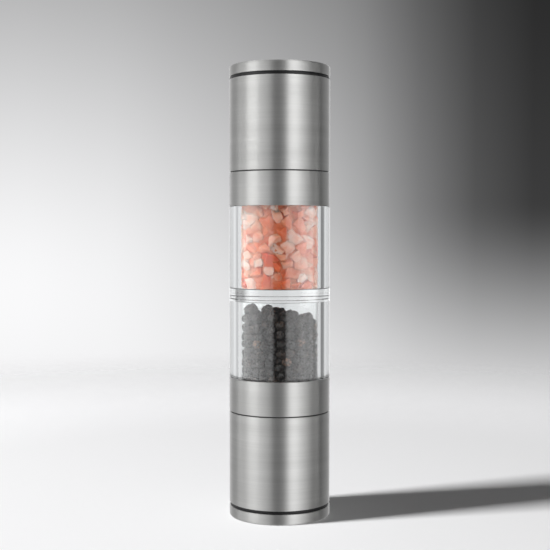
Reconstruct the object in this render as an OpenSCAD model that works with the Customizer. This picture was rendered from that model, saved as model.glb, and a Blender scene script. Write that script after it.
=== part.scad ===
// Two-ended salt and pepper mill: a clear double jar with a ceramic grinding head screwed on each end.
// Origin at the centre of the lower end face, +Z up, millimetres. The salt head is the upper one.
// A head is drawn with z = 0 at the jar side of its collar and +Z pointing out to its lid.

/* [Body] */
// Outer diameter of the steel shells and of the jars
body_d = 46; // [43:0.5:52]
// Wall of the drawn steel shells
skin_t = 0.7; // [0.5:0.1:1]
// Chamfer on the open edges of the steel shells
edge_break = 0.2; // [0.1:0.05:0.3]

/* [Jars] */
// Height of the salt jar that shows, from the joint between the jars to the collar
salt_jar_h = 41.8; // [35:0.5:60]
// Height of the pepper jar that shows, from the collar to the joint between the jars
pepper_jar_h = 36.2; // [30:0.5:60]
// Wall of both jars
jar_wall = 5.2; // [4:0.1:6]
// Thickness of the floor that parts the two chambers
floor_t = 4.3; // [3:0.1:6]
// Height of the spigot under that floor, which centres the pepper jar
spigot_h = 1.5; // [1:0.1:3]
// Radius of the outer edges that meet at the joint between the jars
joint_edge_r = 0.9; // [0.4:0.1:1.5]
// Fillet between the floor and the bore of the salt jar
floor_fillet_r = 1.2; // [0.5:0.1:2]

/* [Filling] */
// How far the salt reaches into the collar
salt_over = 1.5; // [0.5:0.1:2]
// Gap between the filling and the jar's bore
fill_gap = 0.3; // [0.2:0.1:0.6]
// Radius of the round heap that the peppercorns make
heap_r = 26; // [24:0.5:40]
// How far the top of the heap lies off the axis
heap_shift = 3; // [0:0.5:5]
// Gap between the top of the heap and the floor above it
heap_gap = 0.7; // [0.3:0.1:3]
// Diameter of the peppercorns that stand out of the mass
corn_d = 5; // [4:0.1:5.5]
// Distance between those peppercorns
corn_step = 6.4; // [5.8:0.1:9]
// Side of the salt crystals that stand out of the mass
crystal_side = 4.2; // [3:0.1:4.6]
// Distance between those crystals
crystal_step = 7.4; // [6.5:0.1:10]
// Share of a grain's size that stands out of the mass
grain_proud = 0.6; // [0.4:0.05:0.7]

/* [Collar] */
// Height of the steel collar beside the jar
collar_h = 15.2; // [14:0.2:20]
// Height from the underside of the adapter's web to the end of the collar
shoulder_h = 4.6; // [4:0.1:6]
// Wall of the adapter's screwed skirt
adapter_wall = 1.75; // [1.4:0.05:2.2]
// How far the skirt stays back from the collar's edge
skirt_inset = 0.6; // [0.3:0.1:1.2]
// Thickness of the adapter's web
web_t = 1.8; // [1.4:0.1:2.4]
// Width of the web inside the pivot ring
web_lip = 1.7; // [1:0.1:2.5]
// Thickness of the gasket on the jar's rim
gasket_t = 1; // [0.6:0.1:1.5]

/* [Pivot] */
// Height of the pivot ring past the seam between collar and sleeve
pivot_h = 8.3; // [7.9:0.1:10]
// Wall of the pivot ring
pivot_wall = 1.8; // [1.5:0.1:2.4]
// Height of the core's bearing on the pivot ring
bearing_h = 5.6; // [4:0.1:5.8]
// Wall of the core round the pivot ring
bearing_wall = 2.15; // [2:0.05:2.4]
// Depth of the snap ring's groove
groove_depth = 0.9; // [0.6:0.1:1.2]
// Thickness of the snap ring
snap_t = 1.2; // [0.8:0.1:1.4]
// How far the snap ring overlaps the bearing
snap_catch = 0.4; // [0.3:0.05:0.5]
// Gap in the snap ring
snap_gap = 9; // [5:0.5:14]

/* [Spider and shaft] */
// Diameter of the spider's hub
hub_d = 12; // [10.5:0.5:13]
// Height of the spider's hub
hub_h = 8; // [6:0.5:9]
// How far the hub reaches under the web
hub_drop = 1.6; // [1:0.1:2.5]
// Number of spider arms
arms = 3; // [3:1:4]
// Width of a spider arm
arm_w = 3; // [2:0.5:4]
// Height of a spider arm
arm_h = 4; // [3:0.5:5]
// Side of the square drive shaft
shaft_side = 5; // [4:0.1:5.2]
// Diameter of the shaft's head under the hub
shaft_head_d = 9; // [8:0.5:10.5]
// Thickness of the shaft's head
shaft_head_t = 1; // [0.8:0.1:1.2]
// Diameter of the shaft's screwed tip
tip_d = 4.8; // [3.6:0.1:4.9]

/* [Spring] */
// Outer diameter of the spring
spring_d = 9.6; // [9.4:0.1:11]
// Diameter of the spring wire
wire_d = 0.9; // [0.7:0.05:1]
// Number of coils
coils = 7; // [5:0.5:9]
// Thickness of the washer between spring and inner burr
washer_t = 0.8; // [0.5:0.1:1.2]
// Diameter of that washer
washer_d = 11; // [10.5:0.5:13]

/* [Burrs] */
// Outer diameter of the outer burr
burr_d = 30; // [29:0.2:31]
// Height of the outer burr
burr_h = 11.8; // [11:0.1:13]
// Height of the fine teeth at the outlet
fine_h = 5.8; // [5:0.1:6.5]
// Radius over the inner burr's teeth at the outlet
rotor_r = 12; // [11.6:0.1:12.2]
// Radius over the inner burr's teeth where coarse and fine teeth meet
throat_r = 9.9; // [9.5:0.1:10.3]
// Radius over the inner burr's teeth at the feed end
nose_r = 5.8; // [5.5:0.1:6.5]
// Gap between the teeth of the two burrs at the middle setting
grind_gap = 0.55; // [0.45:0.05:0.7]
// Rim of the outer burr left at the feed end
rim_w = 1.3; // [1:0.1:1.8]
// How far the inner burr's outlet face stands past the outer burr's
rotor_proud = 0.5; // [0.3:0.1:0.8]
// How far the coarseness setting moves the inner burr each way
burr_travel = 0.75; // [0.5:0.05:0.8]
// Depth of the fine teeth
fine_tooth = 0.7; // [0.4:0.1:0.9]
// Depth of the coarse teeth
coarse_tooth = 1.3; // [0.8:0.1:1.5]
// Number of fine teeth on each burr
fine_teeth = 26; // [18:1:30]
// Number of coarse teeth on each burr
coarse_teeth = 9; // [6:1:12]
// Twist of the fine teeth over their height, in degrees
fine_twist = 14; // [0:1:25]
// Twist of the coarse teeth over their height, in degrees
coarse_twist = 38; // [0:1:45]

/* [Burr carrier] */
// Depth from the sleeve's end to the carrier's flange
mouth_depth = 11.7; // [11:0.1:14]
// How far the outer burr's outlet face lies inside the carrier's flange
burr_drop = 1; // [0.6:0.1:1.3]
// Thickness of the carrier's flange
flange_t = 1.8; // [1.4:0.1:2.4]
// Wall of the burr cup
cup_wall = 1.6; // [1.2:0.05:1.7]
// Thickness of the lip under the outer burr
lip_t = 1.5; // [1:0.1:2]
// Width of the lip under the outer burr
lip_w = 1.5; // [1:0.1:2]
// Wall of the feed funnel
funnel_wall = 1.5; // [1.2:0.1:2]
// Thickness of the burr retainer's flange
retainer_t = 1.4; // [1:0.1:1.8]
// Width of the retainer over the outer burr
retainer_w = 1.8; // [1.2:0.1:2]
// Number of notches in the retainer for the assembly key
key_notches = 3; // [2:1:6]
// Number of carrier screws
screws = 3; // [3:1:4]
// Wall of the bosses that the screws bite into
boss_wall = 0.8; // [0.7:0.05:1]
// Diameter of a carrier screw's shank
screw_d = 2.2; // [1.8:0.1:2.3]
// Length of a carrier screw under its head
screw_len = 7; // [5:0.5:8]
// Diameter of a carrier screw's head
screw_head_d = 3.4; // [2.8:0.1:3.5]
// Height of a carrier screw's head
screw_head_h = 1.4; // [1:0.1:1.6]

/* [Knob] */
// Diameter of the coarseness knob's flange
knob_d = 16; // [14:0.5:17]
// Thickness of that flange
knob_flange_t = 2; // [1.4:0.1:3]
// Diameter of the knob's grip
grip_d = 12; // [10:0.5:13]
// Height of the knob over the inner burr
knob_h = 7.3; // [6:0.1:8]
// Height of the neck that holds the knob's flange off the inner burr
knob_neck_h = 1; // [0.6:0.1:1.5]
// How far the shaft's tip ends inside the knob
tip_inset = 1; // [0.5:0.1:1.5]
// Number of finger flutes in the grip
flutes = 8; // [6:1:10]
// Radius of a finger flute
flute_r = 1.6; // [1:0.1:1.8]

/* [Head] */
// Height of the steel sleeve that is turned to grind
sleeve_h = 41.5; // [40:0.5:50]
// Seam between the collar and the sleeve
seam_gap = 0.5; // [0.4:0.05:0.8]
// Wall of the head's plastic core
core_wall = 1.6; // [1.4:0.05:1.7]
// How far the core stays back inside the sleeve's end
core_inset = 0.3; // [0:0.1:1]
// Width of the ledge that the carrier's flange sits on
ledge_w = 1.75; // [1.2:0.05:1.9]
// Thickness of that ledge
ledge_t = 1.6; // [1.2:0.1:2.4]
// Number of ribs inside the core
ribs = 9; // [6:3:12]
// Thickness of a rib
rib_t = 1.2; // [0.8:0.1:1.6]
// Height from the end of the pivot ring to the start of the ribs
rib_start = 2.6; // [2:0.2:4]

/* [Lid] */
// Height of the steel lid
lid_h = 4.8; // [4:0.1:8]
// Radius of the lid's outer edge
lid_edge_r = 0.9; // [0.5:0.1:1.5]
// Thickness of the black seal under the lid
seal_t = 1.5; // [1:0.1:2.5]
// How far the seal is set back from the steel
seal_inset = 0.4; // [0:0.1:0.8]
// Length of the plug's skirt inside the head
plug_len = 7.7; // [5:0.1:8]
// Wall of the plug's skirt
plug_wall = 1.6; // [1.2:0.1:1.7]
// Thickness of the plug's disc under the steel
plug_t = 1.6; // [1.2:0.1:2.4]
// Number of stiffening ribs under the plug's disc
plug_ribs = 6; // [4:1:8]
// Height of those ribs
plug_rib_h = 1; // [0.6:0.1:1.5]

/* [Clearances] */
// Gap between pieces that are pressed or bonded together
bond_gap = 0.05; // [0.02:0.01:0.08]
// Gap between pieces that turn or slide on each other
run_gap = 0.1; // [0.06:0.01:0.15]
// Gap between the plain cylinders that stand for the neck's thread
thread_gap = 0.2; // [0.1:0.05:0.3]
// Gap round the lid's skirt
lid_gap = 0.25; // [0.1:0.05:0.35]

/* [Hidden] */
$fn = 96;
cut = 1; // how far a cutting shape runs past the faces that it opens
golden_angle = 137.5; // spreads grains evenly over a round top

// Radii, from the outside in
r_out = body_d / 2;
r_skin = r_out - skin_t;
r_core = r_skin - bond_gap;
r_bore = r_out - jar_wall;
r_skirt = r_core - adapter_wall;
r_neck = r_skirt - thread_gap;
r_bearing = r_core - bearing_wall;
r_pivot = r_bearing - run_gap;
r_pivot_in = r_pivot - pivot_wall;
r_feed = r_pivot_in - web_lip;
r_groove = r_pivot - groove_depth;
r_core_in = r_core - core_wall;
r_cup = burr_d / 2 + bond_gap;
r_cup_out = r_cup + cup_wall;
r_plug = r_core_in - lid_gap;

// Heights in a head, from the jar side out
z_web = collar_h - shoulder_h;
neck_h = z_web - gasket_t;
z_web_top = z_web + web_t;
z_hub = z_web - hub_drop;
z_hub_top = z_hub + hub_h;
z_head = collar_h + seam_gap;
z_bearing_top = z_head + bearing_h;
z_pivot_top = z_head + pivot_h;
z_sleeve_top = z_head + sleeve_h;
z_flange = z_sleeve_top - mouth_depth;
z_flange_top = z_flange + flange_t;
z_burr_top = z_flange_top - burr_drop;
z_burr = z_burr_top - burr_h;
z_cup = z_burr - lip_t;
z_rotor_top = z_burr_top + rotor_proud;
z_rotor = z_burr + rotor_proud;
z_lid = z_sleeve_top + seal_t;
head_h = z_lid + lid_h;

// Heights of the whole mill
z_pepper_head = head_h;
z_joint = z_pepper_head + pepper_jar_h;
z_salt_head = z_joint + salt_jar_h;
mill_h = z_salt_head + head_h;

// ---- Shared shapes ----

// Plain ring between two radii and two heights, with both outer edges chamfered
module ring(r_in, r_outer, z0, z1, chamfer = 0) {
    rotate_extrude()
        polygon([
            [r_in, z0], [r_outer - chamfer, z0], [r_outer, z0 + chamfer],
            [r_outer, z1 - chamfer], [r_outer - chamfer, z1], [r_in, z1]
        ]);
}

// Half profile of a round post whose upper outer edge is an arc
module round_top_profile(r, z0, z1, edge_r) {
    translate([0, z0])
        square([r, z1 - z0 - edge_r]);
    translate([0, z0])
        square([r - edge_r, z1 - z0]);
    translate([r - edge_r, z1 - edge_r])
        circle(edge_r);
}

// Copies of a shape spaced evenly round the axis
module around(count, start = 0) {
    for (i = [0 : count - 1])
        rotate([0, 0, start + i * 360 / count])
            children();
}

// Square bar standing on z0
module square_bar(side, z0, z1) {
    translate([-side / 2, -side / 2, z0])
        cube([side, side, z1 - z0]);
}

// Saw-toothed outline: each tooth rises slowly and drops steeply
function saw_outline(r_tip, r_root, teeth) = [
    for (i = [0 : teeth - 1], step = [[0, r_root], [0.72, r_tip], [0.8, r_tip]])
        let (a = (i + step[0]) * 360 / teeth)
            step[1] * [cos(a), sin(a)]
];

// Tapering, twisted stack of a toothed outline, from radius r0 at z0 to radius r1 at z1 over the tips
module toothed_cone(r0, r1, z0, z1, depth, teeth, twist, steps) {
    translate([0, 0, z0])
        linear_extrude(height = z1 - z0, twist = twist, scale = r1 / r0, slices = steps)
            polygon(saw_outline(r0, r0 - depth, teeth));
}

// ---- Jars and their filling ----

// Clear acrylic salt jar: moulded cup with the parting floor, a spigot below it and a screw neck above
module salt_jar() {
    z_floor = z_joint + floor_t;
    color([0.93, 0.95, 0.96, 0.3])
        rotate_extrude()
            difference() {
                union() {
                    translate([0, z_salt_head - bond_gap])
                        mirror([0, 1])
                            round_top_profile(r_out, 0, salt_jar_h - 2 * bond_gap, joint_edge_r);
                    translate([0, z_joint + floor_t])
                        square([r_neck, salt_jar_h - floor_t + neck_h]);
                    translate([0, z_joint - spigot_h])
                        square([r_bore - bond_gap, spigot_h + floor_t]);
                }
                difference() {
                    translate([0, z_floor])
                        square([r_bore, salt_jar_h + neck_h]);
                    difference() {
                        translate([r_bore - floor_fillet_r, z_floor])
                            square(floor_fillet_r);
                        translate([r_bore - floor_fillet_r, z_floor + floor_fillet_r])
                            circle(floor_fillet_r);
                    }
                }
            }
}

// Clear acrylic pepper jar: open tube with a screw neck below, closed above by the salt jar's floor
module pepper_jar() {
    color([0.93, 0.95, 0.96, 0.3])
        rotate_extrude()
            difference() {
                union() {
                    round_top_profile(r_out, z_pepper_head + bond_gap, z_joint, joint_edge_r);
                    translate([0, z_pepper_head - neck_h])
                        square([r_neck, neck_h + pepper_jar_h / 2]);
                }
                translate([0, z_pepper_head - neck_h - cut])
                    square([r_bore, pepper_jar_h + neck_h + 2 * cut]);
            }
}

// Grains in staggered rows round a mass; each child can read its own number as $grain
module round_side(r, z0, z1, step) {
    rows = round((z1 - z0) / step);
    per_row = floor(2 * PI * r / step);
    for (row = [0 : rows - 1], i = [0 : per_row - 1])
        let ($angle = (i + row % 2 / 2) * 360 / per_row, $height = z0 + (row + 0.5) * (z1 - z0) / rows,
            $grain = row * per_row + i)
            rotate([0, 0, $angle])
                translate([r, 0, $height])
                    children();
}

// One salt crystal: a rough block, turned by its number
module crystal() {
    rotate([67 * $grain, 41 * $grain, 23 * $grain])
        cube([crystal_side, crystal_side * 0.8, crystal_side * 1.1], center = true);
}

// Coarse pink salt that fills the upper chamber, as one packed mass with crystals standing out
module salt_fill() {
    z0 = z_joint + floor_t + fill_gap;
    z1 = z_salt_head + salt_over;
    reach = norm([1, 0.8, 1.1]) * crystal_side / 2;
    r_at = r_bore - fill_gap - reach;
    r_mass = r_bore - fill_gap - grain_proud * crystal_side;
    color([0.9, 0.6, 0.5]) {
        translate([0, 0, z0])
            cylinder(r = r_mass, h = z1 - z0 - reach);
        round_side(r_at, z0 + reach / 2, z1 - reach, crystal_step)
            crystal();
        top_crystals = floor(PI * pow(r_at / crystal_step, 2));
        for (i = [0 : top_crystals - 1])
            let ($grain = i + 0.5)
                rotate([0, 0, i * golden_angle])
                    translate([r_at * sqrt((i + 0.5) / top_crystals), 0, z1 - reach])
                        crystal();
    }
}

// Black peppercorns in the lower chamber, as one packed mass with corns standing out of its heaped top
module pepper_fill() {
    z0 = z_pepper_head - (z_hub - shaft_head_t - fill_gap);
    z_top = z_joint - spigot_h - heap_gap;
    sunk = grain_proud * corn_d;
    r_at = r_bore - fill_gap - corn_d / 2;
    heap_at = heap_r - corn_d / 2;
    function under_heap(x, y) = z_top - heap_r + sqrt(pow(heap_at, 2) - pow(x + heap_shift, 2) - y * y);
    color([0.16, 0.13, 0.12]) {
        intersection() {
            translate([0, 0, z0])
                cylinder(r = r_bore - fill_gap - sunk, h = z_top - z0);
            translate([-heap_shift, 0, z_top - heap_r])
                union() {
                    sphere(heap_r - sunk);
                    mirror([0, 0, 1])
                        cylinder(r = heap_r - sunk, h = z_top);
                }
        }
        round_side(r_at, z0 + fill_gap, z_top, corn_step)
            if ($height < under_heap(r_at * cos($angle), r_at * sin($angle)) - corn_d / 2)
                sphere(d = corn_d);
        top_corns = floor(PI * pow(heap_at / corn_step, 2));
        for (i = [0 : top_corns - 1])
            let (far = heap_at * sqrt((i + 0.5) / top_corns), x = far * cos(i * golden_angle) - heap_shift,
                y = far * sin(i * golden_angle))
                if (norm([x, y]) < r_at)
                    translate([x, y, under_heap(x, y)])
                        sphere(d = corn_d);
    }
}

// ---- Fixed part of a head: it screws onto the jar ----

// Drawn steel band that hides the screw neck
module collar() {
    color([0.72, 0.72, 0.72])
        ring(r_skin, r_out, 0, collar_h, edge_break);
}

// Moulded adapter: screwed skirt, web, grooved pivot ring, and the spider that holds the shaft
module adapter() {
    groove_gap = run_gap / 2;
    color([0.09, 0.09, 0.1])
        difference() {
            union() {
                ring(r_skirt, r_core, skirt_inset, collar_h);
                ring(r_feed, r_core, z_web, z_web_top);
                ring(r_pivot_in, r_pivot, z_web, z_pivot_top, edge_break);
                translate([0, 0, z_hub])
                    cylinder(d = hub_d, h = hub_h);
                around(arms)
                    translate([0, -arm_w / 2, z_web])
                        cube([r_feed + web_lip / 2, arm_w, arm_h]);
            }
            square_bar(shaft_side + 2 * bond_gap, z_hub - cut, z_hub_top + cut);
            ring(r_groove, r_pivot + cut, z_bearing_top + run_gap,
                z_bearing_top + 2 * run_gap + snap_t + groove_gap);
        }
}

// Flat silicone gasket between the jar's rim and the web
module gasket() {
    color([0.85, 0.85, 0.83])
        ring(r_bore + bond_gap, r_skirt - bond_gap, neck_h + bond_gap, z_web - bond_gap);
}

// Thin nylon washer that the sleeve glides on, seen as the dark seam
module glide_ring() {
    color([0.12, 0.12, 0.13])
        ring(r_pivot + run_gap, r_skin - run_gap, collar_h + bond_gap, z_head - bond_gap);
}

// Open spring ring in the pivot's groove, which keeps the head from lifting off
module snap_ring() {
    z0 = z_bearing_top + run_gap + run_gap / 2;
    color([0.55, 0.56, 0.58])
        difference() {
            ring(r_groove + run_gap, r_bearing + snap_catch, z0, z0 + snap_t);
            translate([0, -snap_gap / 2, z0 - cut])
                cube([r_out, snap_gap, snap_t + 2 * cut]);
        }
}

// Square steel shaft with a forged head under the hub and a screwed tip for the knob
module shaft() {
    z_tip = z_rotor_top - burr_travel - 2 * rotor_proud;
    z_end = z_rotor_top + knob_h - tip_inset;
    color([0.7, 0.7, 0.71]) {
        translate([0, 0, z_hub - shaft_head_t - bond_gap])
            cylinder(d = shaft_head_d, h = shaft_head_t);
        square_bar(shaft_side, z_hub - shaft_head_t / 2, z_tip);
        translate([0, 0, z_tip - cut])
            cylinder(d = tip_d, h = z_end - z_tip + cut - edge_break);
        translate([0, 0, z_end - edge_break])
            cylinder(d1 = tip_d, d2 = tip_d - 2 * edge_break, h = edge_break);
    }
}

// Points of a wire of round section that climbs a helix, and the faces between them
spring_sides = 6;
steps_per_coil = 14;
function helix_ring(r, wire_r, z, turn) = [
    for (k = [0 : spring_sides - 1])
        let (a = k * 360 / spring_sides, rr = r + wire_r * cos(a))
            [rr * cos(turn), rr * sin(turn), z + wire_r * sin(a)]
];

// Compression spring between the hub and the washer, with a closed coil at each end
module spring() {
    wire_r = wire_d / 2;
    r = spring_d / 2 - wire_r;
    z0 = z_hub_top + bond_gap + wire_r;
    z1 = z_rotor - washer_t - bond_gap - wire_r;
    steps = round(coils * steps_per_coil);
    closed = 1; // coils that lie flat on each end
    climb = (z1 - z0 - 2 * wire_d * closed) / (coils - 2 * closed);
    function height(turns) =
        turns < closed ? z0 + wire_d * turns
        : turns > coils - closed ? z1 - wire_d * (coils - turns)
        : z0 + wire_d * closed + climb * (turns - closed);
    points = [
        for (i = [0 : steps])
            each helix_ring(r, wire_r, height(i * coils / steps), i * coils / steps * 360)
    ];
    n = spring_sides;
    tube_faces = [
        for (i = [0 : steps - 1], k = [0 : n - 1])
            [i * n + k, (i + 1) * n + k, (i + 1) * n + (k + 1) % n, i * n + (k + 1) % n]
    ];
    start_face = [for (k = [0 : n - 1]) k];
    end_face = [for (k = [n - 1 : -1 : 0]) steps * n + k];
    color([0.68, 0.69, 0.7])
        polyhedron(points, concat(tube_faces, [start_face, end_face]), convexity = 10);
}

// ---- Inner burr and knob: they slide along the shaft together ----

// Steel washer that the spring pushes on
module washer() {
    color([0.66, 0.67, 0.68])
        difference() {
            translate([0, 0, z_rotor - washer_t])
                cylinder(d = washer_d, h = washer_t - bond_gap);
            square_bar(shaft_side + 2 * run_gap, z_rotor - washer_t - cut, z_rotor + cut);
        }
}

// Ceramic inner burr: coarse spiral teeth draw the grains in, fine teeth widen to the outlet
module inner_burr() {
    z_throat = z_rotor_top - fine_h;
    color([0.93, 0.92, 0.89])
        difference() {
            union() {
                toothed_cone(nose_r, throat_r, z_rotor, z_throat, coarse_tooth * nose_r / throat_r,
                    coarse_teeth, -coarse_twist, 6);
                toothed_cone(throat_r, rotor_r, z_throat, z_rotor_top, fine_tooth, fine_teeth,
                    -fine_twist, 4);
            }
            square_bar(shaft_side + 2 * run_gap, z_rotor - cut, z_rotor_top + cut);
        }
}

// Coarseness knob: a nut with finger flutes on the shaft's screwed tip
module knob() {
    z0 = z_rotor_top + bond_gap;
    z_flange_under = z0 + knob_neck_h;
    z1 = z_rotor_top + knob_h;
    flute_at = grip_d / 2 + flute_r / 2;
    color([0.1, 0.1, 0.11])
        difference() {
            union() {
                translate([0, 0, z0])
                    cylinder(d = shaft_head_d, h = knob_h - bond_gap);
                ring(0, knob_d / 2, z_flange_under, z_flange_under + knob_flange_t, edge_break);
                ring(0, grip_d / 2, z_flange_under, z1, 2 * edge_break);
            }
            translate([0, 0, z0 - cut])
                cylinder(d = tip_d + 2 * run_gap, h = knob_h + 2 * cut);
            around(flutes)
                translate([flute_at, 0, z_flange_under + knob_flange_t])
                    cylinder(r = flute_r, h = knob_h);
        }
}

// ---- Turning part of a head ----

// Brushed steel tube that the hand turns
module sleeve() {
    color([0.72, 0.72, 0.72])
        ring(r_skin, r_out, z_head, z_sleeve_top, edge_break);
}

// Radius at which the carrier's screws stand, with their bosses just run into the core's wall
boss_bite = 0.1;
boss_r = screw_d / 2 + boss_wall;
r_screws = r_core_in - boss_r + boss_bite;

// Moulded core inside the sleeve: bearing at the collar, ledge and screw bosses for the carrier, and ribs
module core() {
    boss_h = screw_len - flange_t + ledge_t / 2;
    z_ribs = z_pivot_top + rib_start;
    color([0.09, 0.09, 0.1])
        difference() {
            union() {
                ring(r_core_in, r_core, z_head, z_sleeve_top - core_inset);
                ring(r_bearing, r_core, z_head, z_bearing_top);
                ring(r_core_in - ledge_w, r_core, z_flange - ledge_t, z_flange);
                around(screws)
                    translate([r_screws, 0, z_flange - boss_h])
                        cylinder(r = boss_r, h = boss_h);
                around(ribs, 180 / ribs)
                    translate([r_core_in - ledge_w, -rib_t / 2, z_ribs])
                        cube([ledge_w + core_wall / 2, rib_t, z_flange - ledge_t / 2 - z_ribs]);
            }
            around(screws)
                translate([r_screws, 0, z_flange - boss_h - cut])
                    cylinder(d = screw_d + 2 * bond_gap, h = boss_h + 2 * cut);
        }
}

// Moulded carrier: flange, cup for the outer burr, and the funnel that leads the grains to it
module carrier() {
    r_lip = r_cup - lip_w;
    z_funnel = z_pivot_top + 4 * run_gap;
    r_funnel = r_pivot_in - 3 * run_gap;
    color([0.1, 0.1, 0.11])
        difference() {
            rotate_extrude()
                polygon([
                    [r_cup, z_burr], [r_cup, z_flange_top], [r_core_in - bond_gap, z_flange_top],
                    [r_core_in - bond_gap, z_flange + bond_gap], [r_cup_out, z_flange + bond_gap],
                    [r_cup_out, z_cup + lip_t], [r_funnel + funnel_wall, z_funnel], [r_funnel, z_funnel],
                    [r_lip, z_cup], [r_lip, z_burr]
                ]);
            around(screws)
                translate([r_screws, 0, z_flange_top - screw_len - cut])
                    cylinder(d = screw_d + 2 * run_gap, h = screw_len + 2 * cut);
        }
}

// Ceramic outer burr: ring whose toothed bore narrows to a throat and then widens to the outlet
module outer_burr() {
    z_throat = z_rotor_top - fine_h;
    slope = (rotor_r - throat_r) / fine_h;
    r_crest = throat_r + grind_gap;
    r_fine = r_crest + fine_tooth;
    r_coarse = r_crest + coarse_tooth;
    r_feed_end = burr_d / 2 - rim_w;
    color([0.93, 0.92, 0.89])
        difference() {
            translate([0, 0, z_burr + bond_gap])
                cylinder(d = burr_d, h = burr_h - bond_gap);
            toothed_cone(r_fine, r_fine + slope * (z_burr_top - z_throat + bond_gap), z_throat,
                z_burr_top + bond_gap, fine_tooth, fine_teeth, fine_twist, 4);
            toothed_cone(r_feed_end, r_coarse, z_burr, z_throat, coarse_tooth * r_feed_end / r_coarse,
                coarse_teeth, -coarse_twist / 2, 5);
        }
}

// Ring that locks the outer burr in its cup, with notches for the assembly key
module burr_retainer() {
    r_in = burr_d / 2 - retainer_w;
    color([0.16, 0.16, 0.17])
        difference() {
            union() {
                ring(r_in, r_cup - run_gap, z_burr_top + bond_gap, z_flange_top + retainer_t);
                ring(r_in, r_screws - boss_r - bond_gap, z_flange_top + bond_gap,
                    z_flange_top + retainer_t, edge_break);
            }
            around(key_notches, 180 / key_notches)
                translate([r_in, 0, z_flange_top + retainer_t / 2])
                    cylinder(d = retainer_w, h = retainer_t);
        }
}

// Cross-head screws that hold the carrier in the core
module carrier_screws() {
    z_seat = z_flange_top + bond_gap;
    slot_w = screw_head_d / 5;
    color([0.62, 0.63, 0.64])
        around(screws)
            translate([r_screws, 0, 0])
                difference() {
                    union() {
                        translate([0, 0, z_seat])
                            cylinder(d = screw_head_d, h = screw_head_h);
                        translate([0, 0, z_seat - screw_len])
                            cylinder(d = screw_d, h = screw_len + screw_head_h / 2);
                    }
                    for (turn = [0, 90])
                        rotate([0, 0, turn])
                            translate([-screw_head_d / 3, -slot_w / 2, z_seat + screw_head_h / 2])
                                cube([screw_head_d * 2 / 3, slot_w, screw_head_h]);
                }
}

// ---- Lid ----

// Drawn steel cap with a rounded edge
module lid_cap() {
    color([0.72, 0.72, 0.72])
        rotate_extrude()
            difference() {
                round_top_profile(r_out, z_lid, head_h, lid_edge_r);
                translate([0, z_lid - cut])
                    square([r_skin, lid_h - skin_t + cut]);
            }
}

// Moulded plug: disc under the steel, and a skirt that pushes into the head
module lid_plug() {
    z_top = head_h - skin_t - bond_gap;
    r_skirt_in = r_plug - plug_wall;
    color([0.09, 0.09, 0.1]) {
        ring(0, r_core, z_top - plug_t, z_top);
        ring(r_skirt_in, r_core, z_lid, z_top);
        ring(r_skirt_in, r_plug, z_lid - plug_len, z_top, edge_break);
        around(plug_ribs)
            translate([r_skirt_in / 2, -plug_wall / 4, z_top - plug_t - plug_rib_h])
                cube([r_skirt_in / 2 + plug_wall / 2, plug_wall / 2, plug_rib_h + plug_t / 2]);
    }
}

// Black silicone ring between the lid and the sleeve
module lid_seal() {
    color([0.05, 0.05, 0.05])
        ring(r_plug + bond_gap, r_out - seal_inset, z_sleeve_top + bond_gap, z_lid - bond_gap, edge_break);
}

// ---- Assembly ----

// One piece of a head by its name
module head_piece(piece) {
    if (piece == "collar") collar();
    if (piece == "adapter") adapter();
    if (piece == "gasket") gasket();
    if (piece == "glide_ring") glide_ring();
    if (piece == "snap_ring") snap_ring();
    if (piece == "shaft") shaft();
    if (piece == "spring") spring();
    if (piece == "washer") washer();
    if (piece == "inner_burr") inner_burr();
    if (piece == "knob") knob();
    if (piece == "sleeve") sleeve();
    if (piece == "core") core();
    if (piece == "carrier") carrier();
    if (piece == "outer_burr") outer_burr();
    if (piece == "burr_retainer") burr_retainer();
    if (piece == "carrier_screws") carrier_screws();
    if (piece == "lid_cap") lid_cap();
    if (piece == "lid_plug") lid_plug();
    if (piece == "lid_seal") lid_seal();
}

HEAD_PIECES = [
    "collar", "adapter", "gasket", "glide_ring", "snap_ring", "shaft", "spring", "washer", "inner_burr",
    "knob", "sleeve", "core", "carrier", "outer_burr", "burr_retainer", "carrier_screws", "lid_cap",
    "lid_plug", "lid_seal"
];

salt_jar();
pepper_jar();
salt_fill();
pepper_fill();

// The two heads are the same set of pieces, the pepper head turned upside down
for (piece = HEAD_PIECES) {
    translate([0, 0, z_salt_head])
            head_piece(piece);
    translate([0, 0, z_pepper_head])
            rotate([180, 0, 0])
                head_piece(piece);
}
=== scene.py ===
import math

import bmesh
import bpy
import numpy as np
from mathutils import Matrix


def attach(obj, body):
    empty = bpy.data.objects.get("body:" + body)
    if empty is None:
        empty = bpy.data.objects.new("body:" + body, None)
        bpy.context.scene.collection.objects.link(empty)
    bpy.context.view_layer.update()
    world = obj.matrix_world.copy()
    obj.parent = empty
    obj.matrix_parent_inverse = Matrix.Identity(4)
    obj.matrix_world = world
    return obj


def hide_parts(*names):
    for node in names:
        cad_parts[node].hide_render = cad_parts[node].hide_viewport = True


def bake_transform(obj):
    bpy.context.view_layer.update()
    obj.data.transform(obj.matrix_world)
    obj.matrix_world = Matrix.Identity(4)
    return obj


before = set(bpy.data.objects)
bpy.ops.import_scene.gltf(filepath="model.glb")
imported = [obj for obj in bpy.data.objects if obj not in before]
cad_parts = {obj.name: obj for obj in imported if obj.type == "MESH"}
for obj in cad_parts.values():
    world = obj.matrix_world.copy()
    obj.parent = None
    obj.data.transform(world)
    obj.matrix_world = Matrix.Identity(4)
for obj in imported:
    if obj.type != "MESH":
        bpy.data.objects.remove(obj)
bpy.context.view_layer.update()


# ---- Salt jar ----
# The upper chamber: a thick clear cup with a solid floor, a spigot under it that centres the
# pepper jar, and a screw neck on top. It is injection moulded in acrylic and polished.

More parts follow.
